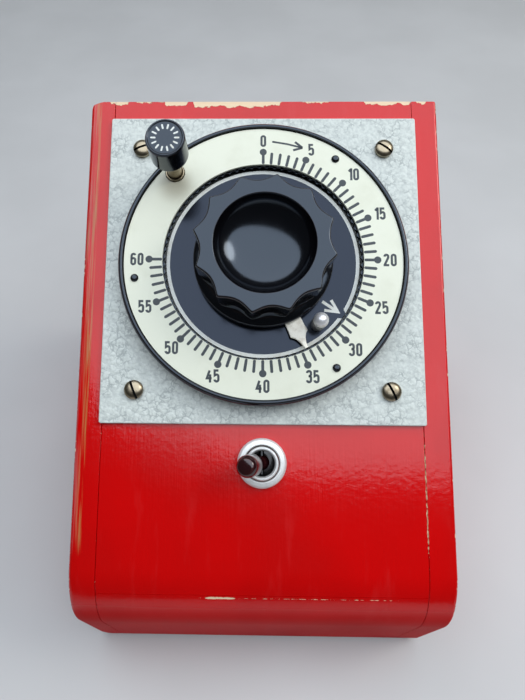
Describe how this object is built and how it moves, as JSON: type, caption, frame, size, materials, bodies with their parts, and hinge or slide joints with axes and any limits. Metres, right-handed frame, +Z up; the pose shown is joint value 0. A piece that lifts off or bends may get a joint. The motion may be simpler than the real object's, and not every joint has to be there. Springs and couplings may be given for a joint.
{
  "type": "enlarger timer",
  "caption": "Sloping painted wooden case with a clockwork exposure dial, fluted setting knob, preset finger, start button and toggle switch.",
  "frame": {"origin": "centre of the footprint, on the surface the feet stand on", "axes": "+Z up, the sloping panel faces -Y, +X to the right of a person facing the dial"},
  "size_m": [0.139, 0.1754, 0.1633],
  "materials": {
    "red_paint": "brushed gloss red paint on wood, chipped at the edges",
    "bare_wood": "unpainted plywood",
    "hammered_paint": "light grey hammered paint",
    "bakelite": "polished black bakelite",
    "scale_enamel": "off-white enamelled sheet with dark grey print",
    "nickel": "worn nickel plate",
    "brass": "lacquered",
    "steel": "turned",
    "spring_steel": "blued",
    "aluminium": "turned, slightly dulled",
    "ivory": "cream",
    "rubber": "matte",
    "moulded": "dark maroon moulding"
  },
  "bodies": {
    "case": {"case_left_side": "red_paint", "case_right_side": "red_paint", "front_rail": "red_paint", "sloped_panel": "red_paint", "back_board": "red_paint", "bottom_cover": "bare_wood", "cover_screw_1": "nickel", "cover_screw_2": "nickel", "cover_screw_3": "nickel", "cover_screw_4": "nickel", "rubber_foot_1": "rubber", "rubber_foot_2": "rubber", "rubber_foot_3": "rubber", "rubber_foot_4": "rubber", "mains_gland": "rubber", "lamp_gland": "rubber", "terminal_block": "ivory", "faceplate": "hammered_paint", "faceplate_screw_1": "nickel", "faceplate_screw_2": "nickel", "faceplate_screw_3": "nickel", "faceplate_screw_4": "nickel", "bezel_ring": "bakelite", "scale_ring": "scale_enamel", "scale_rivet_1": "bakelite", "scale_rivet_2": "bakelite", "scale_rivet_3": "bakelite", "plunger_bush": "nickel", "plunger_spring": "spring_steel", "trip_lever_bracket": "steel", "contact_block": "moulded", "moving_contact": "spring_steel", "fixed_contact": "spring_steel", "movement_front_plate": "brass", "movement_back_plate": "brass", "movement_pillar_1": "brass", "movement_pillar_2": "brass", "movement_pillar_3": "brass", "mainspring_barrel": "brass", "mainspring": "spring_steel", "toggle_ring_nut": "aluminium", "toggle_bushing": "aluminium", "toggle_pivot_pin": "steel", "toggle_body": "moulded"},
    "dial": {"dial_disc": "bakelite", "setting_knob": "bakelite", "knob_hub": "brass", "index_pin": "nickel", "main_spindle": "steel", "great_wheel": "brass", "contact_cam": "moulded"},
    "preset_stop": {"preset_finger": "ivory"},
    "start_control": {"start_button": "bakelite", "start_plunger": "nickel"},
    "trip": {"trip_lever": "brass"},
    "second_arbor": {"second_wheel": "brass"},
    "governor": {"governor_arbor": "steel", "governor_fly": "aluminium", "brake_disc": "steel"},
    "toggle": {"toggle_lever": "moulded"}
  },
  "joints": [
    {"name": "dial_turn", "type": "hinge", "parent": "case", "child": "dial", "pos_m": [0, 0.02265, 0.11945], "axis": [0, -0.4695, 0.8829], "range_deg": [-2.4, 124.2]},
    {"name": "preset_stop_turn", "type": "hinge", "parent": "case", "child": "preset_stop", "pos_m": [0, 0.02138, 0.12184], "axis": [0, -0.4695, 0.8829], "range_deg": [-146, 0]},
    {"name": "start_press", "type": "slide", "parent": "case", "child": "start_control", "axis": [0, 0.4695, -0.8829], "range_m": [0, 0.005], "stiffness_N_per_m": 400, "springref_m": -0.004, "deforming": ["plunger_spring"]},
    {"name": "trip_lever_rock", "type": "hinge", "parent": "case", "child": "trip", "pos_m": [-0.02095, 0.06198, 0.09534], "axis": [-0.6432, -0.6761, -0.3595], "range_deg": [0, 19.2]},
    {"name": "second_wheel_turn", "type": "hinge", "parent": "case", "child": "second_arbor", "pos_m": [0.00019, 0.04889, 0.11642], "axis": [0, -0.4695, 0.8829], "range_deg": [-600, 15]},
    {"name": "governor_turn", "type": "hinge", "parent": "case", "child": "governor", "pos_m": [-0.01344, 0.04948, 0.10541], "axis": [0, -0.4695, 0.8829], "range_deg": [-60, 2990]},
    {"name": "toggle_tilt", "type": "hinge", "parent": "case", "child": "toggle", "pos_m": [0, -0.03964, 0.07897], "axis": [0, 0.8829, 0.4695], "range_deg": [0, 38]}
  ],
  "couplings": [
    {"joint": "trip_lever_rock", "follows": "start_press", "rad_per_m": 66.5},
    {"joint": "second_wheel_turn", "follows": "dial_turn", "ratio": -4.8},
    {"joint": "governor_turn", "follows": "dial_turn", "ratio": 24}
  ]
}
